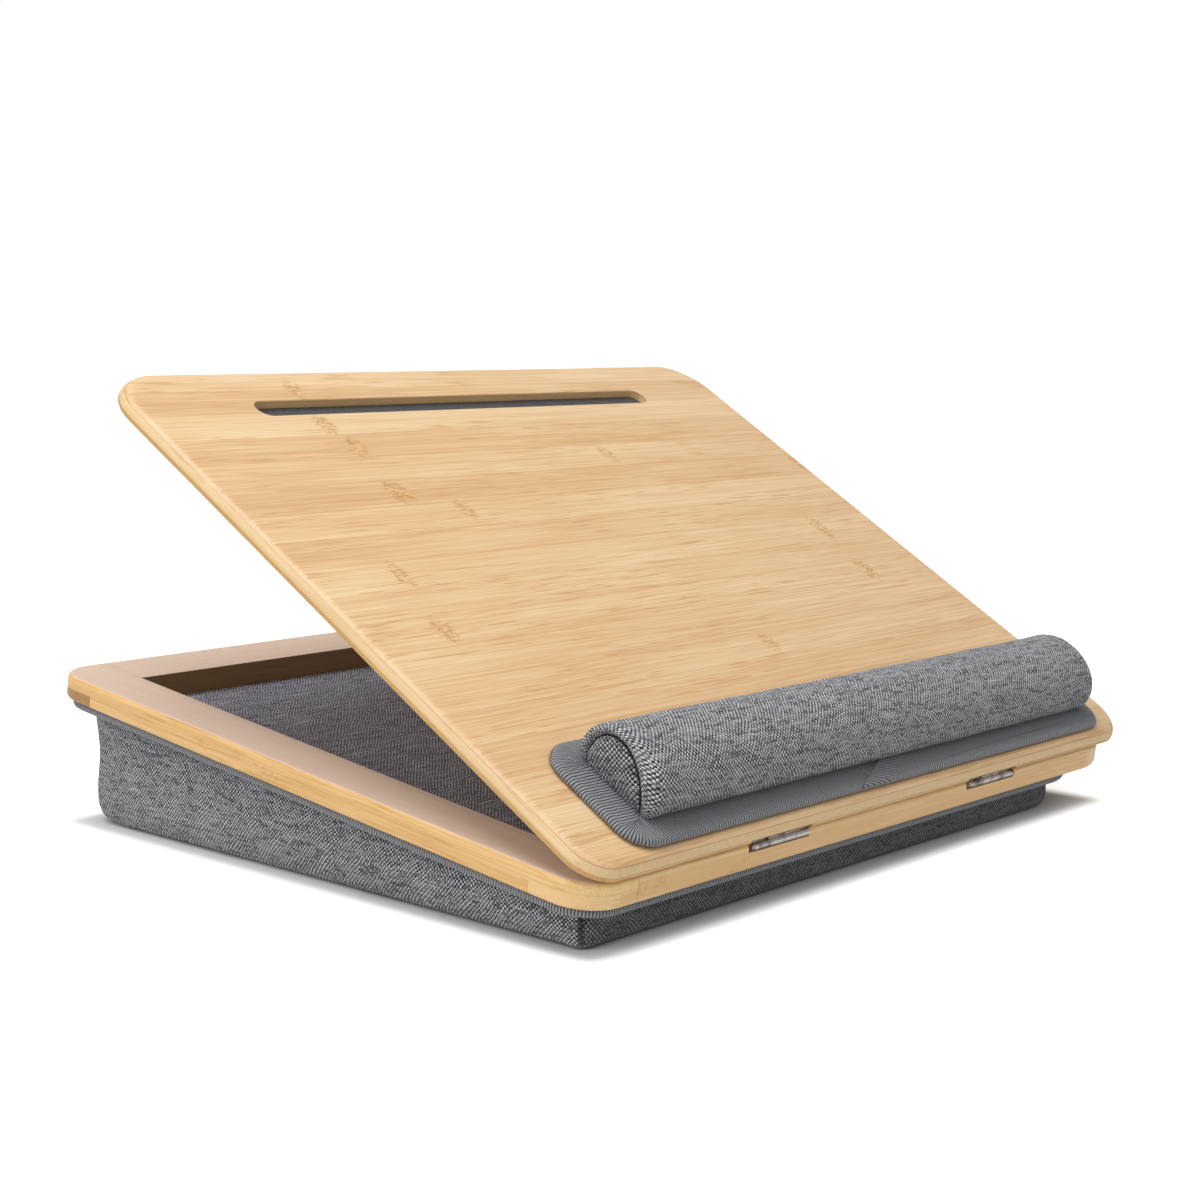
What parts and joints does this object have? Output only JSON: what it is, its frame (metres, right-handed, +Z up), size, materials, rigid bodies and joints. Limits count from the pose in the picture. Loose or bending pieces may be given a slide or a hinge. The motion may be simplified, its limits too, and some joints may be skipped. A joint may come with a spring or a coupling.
{
  "type": "lap desk with lift lid",
  "caption": "Bamboo lap desk: shallow storage tray on a wedge cushion, under a hinged writing lid with a media slot and a padded wrist rest.",
  "frame": {"origin": "on the surface the desk stands on, under the middle of its outer box", "axes": "+X to the user's right along the hinges, +Y away from the user towards the high back edge, +Z up; the lid is stored open"},
  "size_m": [0.44, 0.356, 0.2206],
  "materials": {
    "bamboo_rail": "satin",
    "bamboo_face": "satin",
    "bamboo_core": "satin",
    "bamboo_under": "satin",
    "backing": "matte",
    "hardboard": "matte",
    "lining_cloth": "matte",
    "heather_cloth": "matte",
    "ribbed_tape": "matte",
    "filling": "matte",
    "adhesive": "matte",
    "hinge_steel": "satin"
  },
  "bodies": {
    "base": {"rail_left": "bamboo_rail", "rail_right": "bamboo_rail", "rail_front": "bamboo_rail", "rail_back": "bamboo_rail", "floor_board": "hardboard", "floor_cloth": "lining_cloth", "base_binding": "ribbed_tape", "cushion_cover": "heather_cloth", "cushion_core": "filling", "hinge_1_base_leaf": "hinge_steel", "hinge_1_pin": "hinge_steel", "hinge_2_base_leaf": "hinge_steel", "hinge_2_pin": "hinge_steel", "base_leaf_screws": "hinge_steel"},
    "lid": {"lid_bottom_ply": "bamboo_under", "lid_core_ply": "bamboo_core", "lid_top_ply": "bamboo_face", "slot_backing": "backing", "hinge_1_lid_leaf": "hinge_steel", "hinge_2_lid_leaf": "hinge_steel", "lid_leaf_screws": "hinge_steel", "wrist_adhesive_strips": "adhesive", "wrist_binding": "ribbed_tape", "wrist_base": "hardboard", "wrist_cover": "heather_cloth", "wrist_core": "filling", "wrist_end_left": "heather_cloth", "wrist_end_right": "heather_cloth"}
  },
  "joints": [
    {"name": "lid_hinge", "type": "hinge", "parent": "base", "child": "lid", "pos_m": [0, -0.17485, 0.02878], "axis": [1, 0, 0], "range_deg": [-23.1, 66.9]}
  ]
}
